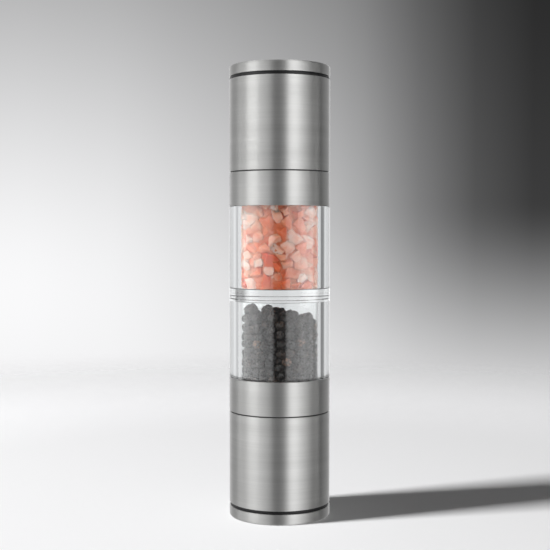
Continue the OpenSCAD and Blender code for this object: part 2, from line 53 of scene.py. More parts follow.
def colour(code):
    """A colour written as sRGB hex, as the linear values that a shader takes."""
    parts = [int(code[i:i + 2], 16) / 255 for i in (1, 3, 5)]
    return [p / 12.92 if p <= 0.04045 else ((p + 0.055) / 1.055) ** 2.4 for p in parts] + [1]


def add(tree, kind, links=None, **settings):
    """Adds one node: settings are its properties or the values of its inputs, links its wires."""
    node = tree.nodes.new(kind)
    for key, value in settings.items():
        if hasattr(node, key):
            setattr(node, key, value)
        else:
            node.inputs[key.replace("_", " ")].default_value = value
    for key, wire in (links or {}).items():
        tree.links.new(wire, node.inputs[key])
    return node


def finish(name):
    """A new material with an empty node tree but for its output."""
    material = bpy.data.materials.new(name)
    material.use_nodes = True
    tree = material.node_tree
    tree.nodes.clear()
    return material, tree, tree.nodes.new("ShaderNodeOutputMaterial")


def wear(material, *pieces):
    """Puts one material on the whole of each piece."""
    for piece in pieces:
        piece.data.materials.clear()
        piece.data.materials.append(material)


crease = math.radians(32)  # a sharper turn between two faces shows as an edge


def turned(name, corners, steps):
    """Turns a closed outline round the axis, as on a lathe.

    A corner is its radius, its height and its rounding, in mm.
    """
    bpy.ops.object.select_all(action="DESELECT")
    bpy.ops.mesh.primitive_plane_add(size=0.001)
    piece = bpy.context.object
    piece.name = piece.data.name = name
    bpy.ops.object.mode_set(mode="EDIT")
    bpy.ops.mesh.merge(type="CENTER")
    bpy.ops.transform.translate(value=(corners[0][0] / 1000, 0, corners[0][1] / 1000))
    for (r0, z0, _), (r1, z1, _) in zip(corners, corners[1:]):
        step = ((r1 - r0) / 1000, 0, (z1 - z0) / 1000)
        bpy.ops.mesh.extrude_vertices_move(TRANSFORM_OT_translate={"value": step})
    if corners[0][0] > 0 or corners[-1][0] > 0:
        outline = bmesh.from_edit_mesh(piece.data)
        bpy.ops.mesh.select_all(action="DESELECT")
        for v in outline.verts:
            v.select = len(v.link_edges) == 1
        bpy.ops.mesh.edge_face_add()
    for rounding in sorted({c[2] for c in corners if c[2]}):
        outline = bmesh.from_edit_mesh(piece.data)
        bpy.ops.mesh.select_all(action="DESELECT")
        for v in outline.verts:
            v.select = any(
                math.hypot(v.co.x * 1000 - r, v.co.z * 1000 - z) < 0.001
                for r, z, own in corners if own == rounding
            )
        bpy.ops.mesh.bevel(offset=rounding / 1000, segments=5, affect="VERTICES")
    bpy.ops.mesh.select_all(action="SELECT")
    bpy.ops.mesh.spin(steps=steps, angle=2 * math.pi, center=(0, 0, 0), axis=(0, 0, 1))
    bpy.ops.mesh.select_all(action="SELECT")
    bpy.ops.mesh.remove_doubles(threshold=1e-6)
    bpy.ops.mesh.normals_make_consistent(inside=False)
    bpy.ops.object.mode_set(mode="OBJECT")
    bpy.ops.object.shade_smooth_by_angle(angle=crease)
    return piece


def cut_thread(piece, root, crest, start, end, pitch=2.4, fade=0.6):
    """Moves the rings of a neck in and out so that they form a screw thread that fades at both ends."""
    for v in piece.data.vertices:
        r, z = math.hypot(v.co.x, v.co.y) * 1000, v.co.z * 1000
        if abs(r - crest) < 0.02 and start < z < end:
            phase = (z / pitch - math.atan2(v.co.y, v.co.x) / (2 * math.pi)) % 1
            ridge = min(max(1.6 - abs(phase - 0.5) * 5, 0), 1)  # a flat crest between two slopes
            ridge *= min(1, (z - start) / fade, (end - z) / fade)
            new = root + (crest - root) * ridge
            v.co.x *= new / r
            v.co.y *= new / r


# Clear acrylic: PMMA polished in the mould, so it mirrors the lights sharply, with a haze in
# patches of about 6 mm that is only just there. Patterns are counted in repeats per metre.
acrylic, tree, out = finish("clear_acrylic")
place = add(tree, "ShaderNodeTexCoord")
haze = add(tree, "ShaderNodeTexNoise", {"Vector": place.outputs["Object"]}, Scale=160, Detail=2)
polish = add(tree, "ShaderNodeMapRange", {"Value": haze.outputs["Fac"]}, To_Min=0.0, To_Max=0.012)
clear = add(
    tree, "ShaderNodeBsdfPrincipled", {"Roughness": polish.outputs["Result"]},
    Base_Color=colour("#fbfdfd"), IOR=1.49, Transmission_Weight=1.0,
)
tree.links.new(clear.outputs["BSDF"], out.inputs["Surface"])

# Solvent weld: the joint's faces have melted into one another, so they can't be seen.
weld, tree, out = finish("solvent_weld")
fused = add(tree, "ShaderNodeBsdfTransparent")
tree.links.new(fused.outputs["BSDF"], out.inputs["Surface"])


def welded(jar, low=98.3, high=99.8, inner=17.7, outer=22.8):
    """Gives the weld to the faces of a jar that lie between two heights and two radii, in mm."""
    jar.data.materials.append(weld)
    for face in jar.data.polygons:
        r, z = math.hypot(face.center.x, face.center.y) * 1000, face.center.z * 1000
        if low < z < high and inner < r < outer:
            face.material_index = 1


# Radii of both jars in mm: outer face, bore, and the thread's crests and roots.
jar_r, bore_r, crest_r, root_r = 23, 17.8, 20.3, 19.75
ring_step, rings = 0.3, 27  # rings of a neck, which the thread moves
spigot_r, spigot_z, joint_z, joint_face_r = 17.75, 98.2, 99.73, 22.85
floor_z, shoulder_z, rim_z = 104.0, 141.45, 151.1

# A corner close to a rounded one keeps the tall faces flat in their shading.
neck = [(crest_r, 142.0 + ring_step * i, 0) for i in range(rings)]
salt_jar = turned("salt_jar_moulded", [
    (0, spigot_z, 0), (spigot_r, spigot_z, 0), (spigot_r, joint_z, 0), (joint_face_r, joint_z, 0),
    (jar_r, 99.9, 0), (jar_r, 141.0, 0), (jar_r, shoulder_z, 0.3), (crest_r, shoulder_z, 0), *neck,
    (crest_r, rim_z, 0.4), (bore_r, rim_z, 0.4), (bore_r, 150.6, 0), (bore_r, 104.6, 0),
    (bore_r, floor_z, 0.5), (0, floor_z, 0),
], steps=256)
cut_thread(salt_jar, root_r, crest_r, start=142.2, end=149.8)
wear(acrylic, salt_jar)
welded(salt_jar)
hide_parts("salt_jar")
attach(salt_jar, "jars")


# ---- Pepper jar ----
# The lower chamber: an open acrylic tube, bonded to the salt jar's floor above, with its own
# screw neck below. It is moulded and polished like the salt jar.
joint_z, shoulder_z, rim_z = 99.7, 63.55, 53.9
neck = [(crest_r, 63.0 - ring_step * i, 0) for i in range(rings)]
pepper_jar = turned("pepper_jar_moulded", [
    (bore_r, joint_z, 0), (joint_face_r, joint_z, 0), (jar_r, 99.53, 0), (jar_r, 64.0, 0),
    (jar_r, shoulder_z, 0.3), (crest_r, shoulder_z, 0), *neck, (crest_r, rim_z, 0.4),
    (bore_r, rim_z, 0.4), (bore_r, 54.4, 0), (bore_r, spigot_z, 0),
], steps=256)
cut_thread(pepper_jar, root_r, crest_r, start=55.2, end=62.8)
wear(acrylic, pepper_jar)
welded(pepper_jar)
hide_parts("pepper_jar")
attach(pepper_jar, "jars")


# ---- Salt ----
# Coarse pink rock salt, crushed from blocks, so each crystal is a blocky chip with flat breaks.
# It lies packed up to the collar, with fine salt between the crystals.

def settled(radii, fit, rounds, seed, pull=(0, 0, 0)):
    """Pushes grains apart and back inside their jar until they lie packed.

    The pull moves all of them each round, in mm.
    """
    at = fit(np.random.default_rng(seed).uniform(-1, 1, (len(radii), 3)), radii)
    for _ in range(rounds):
        apart = at[:, None] - at[None]
        far = np.linalg.norm(apart, axis=2) + np.eye(len(at))
        push = np.clip(radii[:, None] + radii - far, 0, None) / far * (1 - np.eye(len(at)))
        at = fit(at + 0.3 * (apart * push[..., None]).sum(1) + pull, radii)
    return at


def poured(name, grains, centres, radii, stretch, tones, wall, low, seed):
    """Copies the modelled grains to their places, each with its own mesh, turn and tone, as one piece."""
    rng = np.random.default_rng(seed)
    bpy.ops.object.select_all(action="DESELECT")
    for i, (centre, radius, tone) in enumerate(zip(centres, radii, tones)):
        mesh = grains[i % len(grains)].data.copy()
        turn = np.linalg.qr(rng.normal(size=(3, 3)))[0]
        turn *= np.sign(np.linalg.det(turn))
        points = np.empty(len(mesh.vertices) * 3)
        mesh.vertices.foreach_get("co", points)
        shape = rng.uniform(1 - stretch, 1 + stretch, 3)
        points = (points.reshape(-1, 3) * shape) @ turn.T * radius + centre
        out_by = np.hypot(points[:, 0], points[:, 1])
        points[:, :2] *= np.minimum(1, wall / np.maximum(out_by, 1e-6))[:, None]
        points[:, 2] = np.maximum(points[:, 2], low)
        mesh.vertices.foreach_set("co", (points / 1000).ravel())
        mesh.attributes.new("tone", "FLOAT", "POINT").data.foreach_set(
            "value", np.full(len(points), tone))
        grain = bpy.data.objects.new(name, mesh)
        bpy.context.collection.objects.link(grain)
        grain.select_set(True)
    bpy.context.view_layer.objects.active = grain
    bpy.ops.object.join()
    piece = bpy.context.object
    piece.name = piece.data.name = name
    for grain in grains:
        bpy.data.objects.remove(grain)
    return piece


def filling(radii, volume):
    """As many of the grains as it takes to fill a volume, in mm3."""
    return radii[:int(np.searchsorted(np.cumsum(4 / 3 * math.pi * radii ** 3), volume))]


rng = np.random.default_rng(7)
chips = []
for _ in range(8):
    bpy.ops.object.select_all(action="DESELECT")
    bpy.ops.mesh.primitive_cube_add(size=1.7)
    bpy.ops.object.mode_set(mode="EDIT")
    for _ in range(7):
        bpy.ops.mesh.select_all(action="SELECT")
        way = rng.normal(size=3)
        way /= np.linalg.norm(way)
        bpy.ops.mesh.bisect(
            plane_co=way * rng.uniform(0.62, 0.92), plane_no=way, use_fill=True, clear_outer=True)
    bpy.ops.mesh.select_all(action="SELECT")
    bpy.ops.mesh.bevel(offset=0.07, segments=1)
    bpy.ops.mesh.remove_doubles(threshold=0.01)
    bpy.ops.mesh.normals_make_consistent(inside=False)
    bpy.ops.object.mode_set(mode="OBJECT")
    chips.append(bpy.context.object)


def in_salt_jar(at, radii, wall=17.5, low=104.3, high=143.0):
    """Keeps the crystals inside the salt jar. At first it spreads them over its height."""
    if np.abs(at).max() <= 1:
        at = at * (12, 12, 18) + (0, 0, 123.5)
    out_by = np.hypot(at[:, 0], at[:, 1])
    at[:, :2] *= np.minimum(1, (wall - 0.86 * radii) / np.maximum(out_by, 1e-6))[:, None]
    at[:, 2] = np.clip(at[:, 2], low + 0.8 * radii, high - 0.8 * radii)
    return at


radii = np.sort(rng.uniform(1.25, 1.9, 760) ** 1.75)[::-1]
rng.shuffle(radii)
radii = filling(radii, volume=25500)
centres = settled(radii, in_salt_jar, rounds=260, seed=3)
salt_foot = 104.15

# The crystals are drawn a fifth larger than they were packed, so that they press together.
salt = poured("rock_salt_crystals", chips, centres, radii * 1.22, stretch=0.28,
              tones=rng.beta(1.1, 1.3, len(radii)), wall=17.62, low=salt_foot, seed=5)

# Fine salt fills the middle, so that no light comes through between the crystals. Its orange is painted
# shade.
core_r, core_top, layer, layers = 16.6, 143.03, 0.72, 54
fine_salt_and_gap_shade = turned("fine_salt_and_gap_shade", [
    (0, salt_foot, 0), *[(core_r, salt_foot + layer * i, 0) for i in range(layers)], (0, core_top, 0),
], steps=150)
for v in fine_salt_and_gap_shade.data.vertices:
    r = math.hypot(v.co.x, v.co.y)
    if r > 0.01 and 0.1043 < v.co.z < 0.1429:  # the side, but for its two edges
        bulge = 1 + rng.uniform(-0.05, 0.01)
        v.co.x, v.co.y, v.co.z = v.co.x * bulge, v.co.y * bulge, v.co.z + rng.uniform(-0.0002, 0.0002)
# Painted shade: the core is given a tone of 0.8, more orange than most crystals, so that the gaps look
# orange.
fine_salt_and_gap_shade.data.attributes.new("tone", "FLOAT", "POINT").data.foreach_set(
    "value", np.full(len(fine_salt_and_gap_shade.data.vertices), 0.8))

# Rock salt: halite stained by iron, translucent, with a powdery broken surface. The stain lies in
# clouds of about 4 mm, the powder is about 0.4 mm, and the orange in the gaps is painted shade.
rock_salt, tree, out = finish("pink_rock_salt")
place = add(tree, "ShaderNodeTexCoord")
tone = add(tree, "ShaderNodeAttribute", attribute_name="tone")
cloud = add(tree, "ShaderNodeTexNoise", {"Vector": place.outputs["Object"]}, Scale=260, Detail=4)
mixed = add(tree, "ShaderNodeMix", {"A": cloud.outputs["Fac"], "B": tone.outputs["Fac"]}, Factor=0.45)
stain = add(tree, "ShaderNodeMapRange", {"Value": mixed.outputs["Result"]}, From_Min=0.2, From_Max=0.8)
hue = add(tree, "ShaderNodeValToRGB", {"Fac": stain.outputs["Result"]})
hue.color_ramp.elements[0].color = colour("#f6d0c4")
hue.color_ramp.elements[1].color = colour("#d84e18")
for spot, code in ((0.25, "#f5bca8"), (0.5, "#f09a78"), (0.75, "#e8723f")):
    hue.color_ramp.elements.new(spot).color = colour(code)
# Painted shade: where the crystals hide one another, the colour is mixed towards a strong orange.
gaps = add(tree, "ShaderNodeAmbientOcclusion", samples=8, only_local=True, Distance=0.002)
painted_gap_shade = add(tree, "ShaderNodeMapRange", {"Value": gaps.outputs["AO"]}, From_Min=-0.1, From_Max=0.6)
stain_and_painted_gap_shade = add(
    tree, "ShaderNodeMix", {"Factor": painted_gap_shade.outputs["Result"], "B": hue.outputs["Color"]}, data_type="RGBA")
stain_and_painted_gap_shade.inputs["A"].default_value = colour("#dc4a14")
grit = add(tree, "ShaderNodeTexNoise", {"Vector": place.outputs["Object"]}, Scale=2600, Detail=3)
broken = add(tree, "ShaderNodeBump", {"Height": grit.outputs["Fac"]}, Strength=0.5, Distance=0.0003)
stone = add(
    tree, "ShaderNodeBsdfPrincipled",
    {"Base Color": stain_and_painted_gap_shade.outputs["Result"], "Normal": broken.outputs["Normal"]},
    Roughness=0.42, IOR=1.54,
    Subsurface_Weight=1.0, Subsurface_Radius=(1.0, 0.85, 0.75), Subsurface_Scale=0.002,
)
tree.links.new(stone.outputs["BSDF"], out.inputs["Surface"])
wear(rock_salt, salt, fine_salt_and_gap_shade)
for piece in (salt, fine_salt_and_gap_shade):
    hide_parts("salt_fill")
    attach(piece, "jars")


# ---- Peppercorns ----
# Dried black peppercorns, 3.5 to 4.7 mm berries whose skin has shrunk into wrinkles. They lie as
# poured, heaped against one side of the jar.
corns = []
for i in range(6):
    bpy.ops.object.select_all(action="DESELECT")
    bpy.ops.mesh.primitive_ico_sphere_add(subdivisions=2, radius=1)
    berry = bpy.context.object
    for v in berry.data.vertices:
        wave = 0.05 * math.sin(5 * v.co.x + 3 * i) * math.sin(4 * v.co.y + i)
        v.co *= 1 + wave + rng.uniform(-0.14, 0.05)
    bpy.ops.object.shade_smooth()
    corns.append(berry)


def in_pepper_jar(at, radii, wall=17.55, low=55.8, high=97.6):
    """Keeps the peppercorns inside the pepper jar. At first it spreads them over its height."""
    if np.abs(at).max() <= 1:
        at = at * (12, 12, 16) + (0, 0, 74)
    out_by = np.hypot(at[:, 0], at[:, 1])
    at[:, :2] *= np.minimum(1, (wall - radii) / np.maximum(out_by, 1e-6))[:, None]
    at[:, 2] = np.clip(at[:, 2], low + radii, high - radii)
    return at


radii = filling(rng.uniform(1.75, 2.35, 950), volume=31300)
centres = settled(radii, in_pepper_jar, rounds=300, seed=11, pull=(-0.013, 0, -0.045))
pepper = poured("black_peppercorns", corns, centres, radii, stretch=0.05,
                tones=rng.uniform(0, 1, len(radii)), wall=17.65, low=54, seed=6)

# Peppercorn skin: dry, dull and nearly black, with a few brown and tan berries. Its wrinkles are
# about 1.5 mm apart, with finer crumples of 0.8 mm on them.
skin, tree, out = finish("peppercorn_skin")
place = add(tree, "ShaderNodeTexCoord")
tone = add(tree, "ShaderNodeAttribute", attribute_name="tone")
hue = add(tree, "ShaderNodeValToRGB", {"Fac": tone.outputs["Fac"]})
hue.color_ramp.elements[0].color = colour("#1c1715")
hue.color_ramp.elements[1].color = colour("#6c5344")
for spot, code in ((0.6, "#261e1a"), (0.84, "#32261f"), (0.95, "#48362c")):
    hue.color_ramp.elements.new(spot).color = colour(code)
folds = add(
    tree, "ShaderNodeTexVoronoi", {"Vector": place.outputs["Object"]},
    feature="DISTANCE_TO_EDGE", Scale=650,
)
crumple = add(tree, "ShaderNodeTexNoise", {"Vector": place.outputs["Object"]}, Scale=1300, Detail=4)
ridges = add(
    tree, "ShaderNodeMath", {0: folds.outputs["Distance"], 1: crumple.outputs["Fac"]}, operation="MULTIPLY")
bumps = add(tree, "ShaderNodeBump", {"Height": ridges.outputs["Value"]}, Strength=1.0, Distance=0.002)
# Painted light and shade: the skin colour is scaled from black in the wrinkles' valleys to 2.4 times as light
# on their ridges.
painted_wrinkle_light = add(
    tree, "ShaderNodeMapRange", {"Value": folds.outputs["Distance"]}, From_Max=0.3, To_Min=0.0, To_Max=2.4)
shade = add(
    tree, "ShaderNodeVectorMath", {0: hue.outputs["Color"], "Scale": painted_wrinkle_light.outputs["Result"]},
    operation="SCALE",
)
dry = add(
    tree, "ShaderNodeBsdfPrincipled",
    {"Base Color": shade.outputs["Vector"], "Normal": bumps.outputs["Normal"]}, Roughness=0.42, IOR=1.47,
)
tree.links.new(dry.outputs["BSDF"], out.inputs["Surface"])
wear(skin, pepper)
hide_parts("pepper_fill")
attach(pepper, "jars")


# ---- Adapters, cores, carriers, retainers, knobs and lid plugs ----
# The black mouldings in each head. The adapter screws onto the jar and holds the shaft; the others
# turn with the head, set the grind or plug the lid. All are injection moulded in ABS.

# Black ABS: moulded in a lightly spark-eroded tool, so it has a soft sheen and a fine even grain.
# The grain is finer than shows, so it is drawn at about 0.3 mm, in patches of about 11 mm.
abs_plastic, tree, out = finish("moulded_black_abs")
place = add(tree, "ShaderNodeTexCoord")
grain = add(tree, "ShaderNodeTexNoise", {"Vector": place.outputs["Object"]}, Scale=3000, Detail=2)
patch = add(tree, "ShaderNodeTexNoise", {"Vector": place.outputs["Object"]}, Scale=90, Detail=3)
eroded = add(tree, "ShaderNodeBump", {"Height": grain.outputs["Fac"]}, Strength=0.25, Distance=0.00008)
sheen = add(tree, "ShaderNodeMapRange", {"Value": patch.outputs["Fac"]}, To_Min=0.36, To_Max=0.5)
dye = add(tree, "ShaderNodeMix", {"Factor": patch.outputs["Fac"]}, data_type="RGBA")
dye.inputs["A"].default_value = colour("#151516")
dye.inputs["B"].default_value = colour("#1e1e20")
moulded = add(
    tree, "ShaderNodeBsdfPrincipled",
    {"Base Color": dye.outputs["Result"], "Roughness": sheen.outputs["Result"],
     "Normal": eroded.outputs["Normal"]},
    IOR=1.53,
)
tree.links.new(moulded.outputs["BSDF"], out.inputs["Surface"])

for end in ("salt", "pepper"):
    for node in ("adapter", "core", "carrier", "burr_retainer", "knob", "lid_plug"):
        wear(abs_plastic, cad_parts[f"{end}_{node}"])


# ---- Steel collars, sleeves and lids, and the black seals ----
# Thin tubes and cups drawn from stainless sheet and brushed while they turn. A moulded silicone
# ring sits between each sleeve and its lid.

# Brushed stainless steel: the belt leaves fine rings round each piece, so a light smears along
# the axis and stays narrow round it. The rings are drawn about 0.4 mm apart, wider than real.
steel, tree, out = finish("brushed_stainless_steel")
place = add(tree, "ShaderNodeTexCoord")
parts = add(tree, "ShaderNodeSeparateXYZ", {"Vector": place.outputs["Object"]})
flat = add(tree, "ShaderNodeCombineXYZ", {"X": parts.outputs["X"], "Y": parts.outputs["Y"]})
reach = add(tree, "ShaderNodeVectorMath", {0: flat.outputs["Vector"]}, operation="LENGTH")
along = add(tree, "ShaderNodeMath", {0: parts.outputs["Z"], 1: reach.outputs["Value"]}, operation="ADD")
drawn = add(
    tree, "ShaderNodeCombineXYZ",
    {"X": parts.outputs["X"], "Y": parts.outputs["Y"], "Z": along.outputs["Value"]},
)
lines = add(tree, "ShaderNodeMapping", {"Vector": drawn.outputs["Vector"]}, Scale=(28, 28, 2300))
hairlines = add(
    tree, "ShaderNodeTexNoise", {"Vector": lines.outputs["Vector"]}, Scale=1, Detail=4, Roughness=0.6)
sweep_marks = add(tree, "ShaderNodeMapping", {"Vector": drawn.outputs["Vector"]}, Scale=(16, 16, 260))
broad = add(tree, "ShaderNodeTexNoise", {"Vector": sweep_marks.outputs["Vector"]}, Scale=1, Detail=2)
scratch = add(tree, "ShaderNodeBump", {"Height": hairlines.outputs["Fac"]}, Strength=0.12, Distance=0.00006)
rough = add(
    tree, "ShaderNodeMapRange", {"Value": hairlines.outputs["Fac"]},
    From_Min=0.3, From_Max=0.7, To_Min=0.4, To_Max=0.5,
)
both = add(
    tree, "ShaderNodeMath", {0: hairlines.outputs["Fac"], 1: broad.outputs["Fac"]}, operation="ADD")
tint = add(tree, "ShaderNodeMapRange", {"Value": both.outputs["Value"]}, From_Min=0.7, From_Max=1.3)
grey = add(tree, "ShaderNodeMix", {"Factor": tint.outputs["Result"]}, data_type="RGBA")
grey.inputs["A"].default_value = colour("#c4c4c2")
grey.inputs["B"].default_value = colour("#d2d2d0")
round_axis = add(tree, "ShaderNodeTangent", direction_type="RADIAL", axis="Z")
metal = add(
    tree, "ShaderNodeBsdfPrincipled",
    {"Base Color": grey.outputs["Result"], "Roughness": rough.outputs["Result"],
     "Normal": scratch.outputs["Normal"], "Tangent": round_axis.outputs["Tangent"]},
    Metallic=1.0, Anisotropic=0.95, Anisotropic_Rotation=0.25,
)
tree.links.new(metal.outputs["BSDF"], out.inputs["Surface"])


def at_end(end, corners):
    """A head's outline, measured out from its jar, at its real heights: the pepper head hangs down."""
    foot, way = {"salt": (141.5, 1), "pepper": (63.5, -1)}[end]
    return [(r, foot + way * z, rounding) for r, z, rounding in corners]


# Black silicone: compression moulded, so it is smooth, with a dull bloom in patches of 2.5 mm.
silicone, tree, out = finish("black_silicone_rubber")
place = add(tree, "ShaderNodeTexCoord")
bloom = add(tree, "ShaderNodeTexNoise", {"Vector": place.outputs["Object"]}, Scale=400, Detail=3)
dust = add(tree, "ShaderNodeMapRange", {"Value": bloom.outputs["Fac"]}, To_Min=0.3, To_Max=0.44)
soot = add(tree, "ShaderNodeMix", {"Factor": bloom.outputs["Fac"]}, data_type="RGBA")
soot.inputs["A"].default_value = colour("#0c0c0d")
soot.inputs["B"].default_value = colour("#161617")
rubber = add(
    tree, "ShaderNodeBsdfPrincipled",
    {"Base Color": soot.outputs["Result"], "Roughness": dust.outputs["Result"]}, IOR=1.42,
)
tree.links.new(rubber.outputs["BSDF"], out.inputs["Surface"])

# Radii and heights of a head in mm: the steel is 0.7 thick, and the heights go out from the jar.
steel_r, steel_bore, seal_r, seal_bore = 23, 22.3, 22.6, 20.45
collar_top, sleeve_foot, sleeve_top, lid_foot, lid_top = 15.2, 15.7, 57.2, 58.7, 63.5
bore_edge, face_edge = 0.15, 0.22  # how far the edges are rounded
for end in ("salt", "pepper"):
    collar = turned(f"{end}_collar_drawn", at_end(end, [
        (steel_bore, 0, bore_edge), (steel_r, 0, face_edge),
        (steel_r, collar_top, face_edge), (steel_bore, collar_top, bore_edge)]), steps=256)
    sleeve = turned(f"{end}_sleeve_drawn", at_end(end, [
        (steel_bore, sleeve_foot, bore_edge), (steel_r, sleeve_foot, face_edge),
        (steel_r, sleeve_top, face_edge), (steel_bore, sleeve_top, bore_edge)]), steps=256)
    cap = turned(f"{end}_lid_cap_drawn", at_end(end, [
        (steel_bore, lid_foot, bore_edge), (steel_r, lid_foot, face_edge),
        (steel_r, lid_top, 0.9), (0, lid_top, 0), (0, 62.8, 0), (steel_bore, 62.8, 0.3)]), steps=256)
    ring = turned(f"{end}_lid_seal_moulded", at_end(end, [
        (seal_bore, 57.25, 0.2), (seal_r, 57.25, 0.3),
        (seal_r, 58.65, 0.3), (seal_bore, 58.65, 0.2)]), steps=256)
    for piece, node, body, slot in (
        (collar, "collar", "mount", "brushed_steel"), (sleeve, "sleeve", "head", "brushed_steel"),
        (cap, "lid_cap", "lid", "brushed_steel"), (ring, "lid_seal", "lid", "black_silicone"),
    ):
        wear(silicone if piece is ring else steel, piece)
        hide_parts(f"{end}_{node}")
        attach(piece, f"{end}_{body}")


# ---- Gaskets and glide rings ----
# A pale silicone washer, die-cut, seals each jar's rim under the adapter. A thin black nylon
# washer lies in the seam between collar and sleeve, and the head turns on it.

# Pale silicone: cut from calendered sheet, milky and soft to the light, clouded every 2 mm.
pale_silicone, tree, out = finish("pale_silicone_rubber")
place = add(tree, "ShaderNodeTexCoord")
milk = add(tree, "ShaderNodeTexNoise", {"Vector": place.outputs["Object"]}, Scale=500, Detail=3)
cast = add(tree, "ShaderNodeMix", {"Factor": milk.outputs["Fac"]}, data_type="RGBA")
cast.inputs["A"].default_value = colour("#d8d7d0")
cast.inputs["B"].default_value = colour("#e6e5de")
soft = add(
    tree, "ShaderNodeBsdfPrincipled", {"Base Color": cast.outputs["Result"]}, Roughness=0.5, IOR=1.42,
    Subsurface_Weight=0.2, Subsurface_Radius=(1, 1, 1), Subsurface_Scale=0.001,
)
tree.links.new(soft.outputs["BSDF"], out.inputs["Surface"])

# Black nylon: punched from sheet, so it is flat and waxy, mottled every 1.4 mm.
nylon, tree, out = finish("black_nylon")
place = add(tree, "ShaderNodeTexCoord")
waxy = add(tree, "ShaderNodeTexNoise", {"Vector": place.outputs["Object"]}, Scale=700, Detail=3)
blot = add(tree, "ShaderNodeMix", {"Factor": waxy.outputs["Fac"]}, data_type="RGBA")
blot.inputs["A"].default_value = colour("#1a1a1b")
blot.inputs["B"].default_value = colour("#242426")
slick = add(tree, "ShaderNodeBsdfPrincipled", {"Base Color": blot.outputs["Result"]}, Roughness=0.5, IOR=1.53)
tree.links.new(slick.outputs["BSDF"], out.inputs["Surface"])

for end in ("salt", "pepper"):
    wear(pale_silicone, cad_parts[f"{end}_gasket"])
    wear(nylon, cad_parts[f"{end}_glide_ring"])


# ---- Shafts, springs, washers, snap rings and screws ----
# The small steel parts of each head: a square shaft from drawn bar, a spring coiled from wire,
# and stamped rings. The springs push the inner burrs out against their knobs.

# Cold-drawn steel: pulled through a die, so it is bright, with faint marks 0.7 mm apart along it.
bright, tree, out = finish("cold_drawn_steel")
place = add(tree, "ShaderNodeTexCoord")
drawing = add(tree, "ShaderNodeMapping", {"Vector": place.outputs["Object"]}, Scale=(1500, 1500, 60))
die_marks = add(tree, "ShaderNodeTexNoise", {"Vector": drawing.outputs["Vector"]}, Scale=1, Detail=3)
dull = add(tree, "ShaderNodeMapRange", {"Value": die_marks.outputs["Fac"]}, To_Min=0.22, To_Max=0.38)
plate = add(tree, "ShaderNodeMix", {"Factor": die_marks.outputs["Fac"]}, data_type="RGBA")
plate.inputs["A"].default_value = colour("#b2b2b3")
plate.inputs["B"].default_value = colour("#cacaca")
bar = add(
    tree, "ShaderNodeBsdfPrincipled",
    {"Base Color": plate.outputs["Result"], "Roughness": dull.outputs["Result"]}, Metallic=1.0,
)
tree.links.new(bar.outputs["BSDF"], out.inputs["Surface"])

for end in ("salt", "pepper"):
    for node in ("shaft", "washer", "snap_ring", "carrier_screws"):
        wear(bright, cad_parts[f"{end}_{node}"])

    # The spring is shut in between the shaft's hub and the washer; it is drawn at one length, though it
    # shortens as the burr travels.
    spring = bpy.data.objects.new(f"{end}_spring_coiled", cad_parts[f"{end}_spring"].data.copy())
    bpy.context.collection.objects.link(spring)
    bpy.ops.object.select_all(action="DESELECT")
    spring.select_set(True)
    bpy.context.view_layer.objects.active = spring
    bpy.ops.object.mode_set(mode="EDIT")
    bpy.ops.mesh.select_all(action="SELECT")
    bpy.ops.mesh.remove_doubles(threshold=1e-6)
    bpy.ops.object.mode_set(mode="OBJECT")
    bpy.ops.object.shade_smooth_by_angle(angle=crease)
    wear(bright, spring)
    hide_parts(f"{end}_spring")
    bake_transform(spring)


# ---- Burrs ----
# The two cones of each grinder, pressed from alumina powder and sintered. The outer one is held
# in the carrier and turns; the inner one slides on the shaft.

# Sintered alumina: left as fired, so it is chalky and off-white, with a grain of about 0.6 mm.
ceramic, tree, out = finish("sintered_alumina")
place = add(tree, "ShaderNodeTexCoord")
specks = add(tree, "ShaderNodeTexNoise", {"Vector": place.outputs["Object"]}, Scale=1800, Detail=4)
fired = add(tree, "ShaderNodeMix", {"Factor": specks.outputs["Fac"]}, data_type="RGBA")
fired.inputs["A"].default_value = colour("#dcd8cc")
fired.inputs["B"].default_value = colour("#efece3")
chalk = add(tree, "ShaderNodeBump", {"Height": specks.outputs["Fac"]}, Strength=0.3, Distance=0.0001)
hard = add(
    tree, "ShaderNodeBsdfPrincipled",
    {"Base Color": fired.outputs["Result"], "Normal": chalk.outputs["Normal"]}, Roughness=0.6, IOR=1.76,
)
tree.links.new(hard.outputs["BSDF"], out.inputs["Surface"])

for end in ("salt", "pepper"):
    for node in ("inner_burr", "outer_burr"):
        wear(ceramic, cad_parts[f"{end}_{node}"])


# ---- Studio ----
# A pale floor that fades into an even background, soft boxes to the left and right of the
# camera with a dark gap between them, and a key lamp from the left that casts the shadow.
floor = turned("floor_disc", [(0, 0, 0), (1200, 0, 0), (1200, -2, 0), (0, -2, 0)], steps=128)

# White paper: a seamless roll, matt and even, whose edge fades out so that no horizon shows.
paper, tree, out = finish("white_paper")
place = add(tree, "ShaderNodeTexCoord")
pulp = add(tree, "ShaderNodeTexNoise", {"Vector": place.outputs["Object"]}, Scale=3, Detail=2)
white = add(tree, "ShaderNodeMix", {"Factor": pulp.outputs["Fac"]}, data_type="RGBA")
white.inputs["A"].default_value = colour("#f2f2f3")
white.inputs["B"].default_value = colour("#f5f5f6")
matt = add(tree, "ShaderNodeBsdfDiffuse", {"Color": white.outputs["Result"]})
away = add(tree, "ShaderNodeVectorMath", {0: place.outputs["Object"]}, operation="LENGTH")
fade = add(
    tree, "ShaderNodeMapRange", {"Value": away.outputs["Value"]},
    From_Min=0.2, From_Max=0.75, interpolation_type="SMOOTHSTEP",
)
gone = add(tree, "ShaderNodeBsdfTransparent")
edge = add(
    tree, "ShaderNodeMixShader",
    {"Fac": fade.outputs["Result"], 1: matt.outputs["BSDF"], 2: gone.outputs["BSDF"]},
)
tree.links.new(edge.outputs["Shader"], out.inputs["Surface"])
wear(paper, floor)
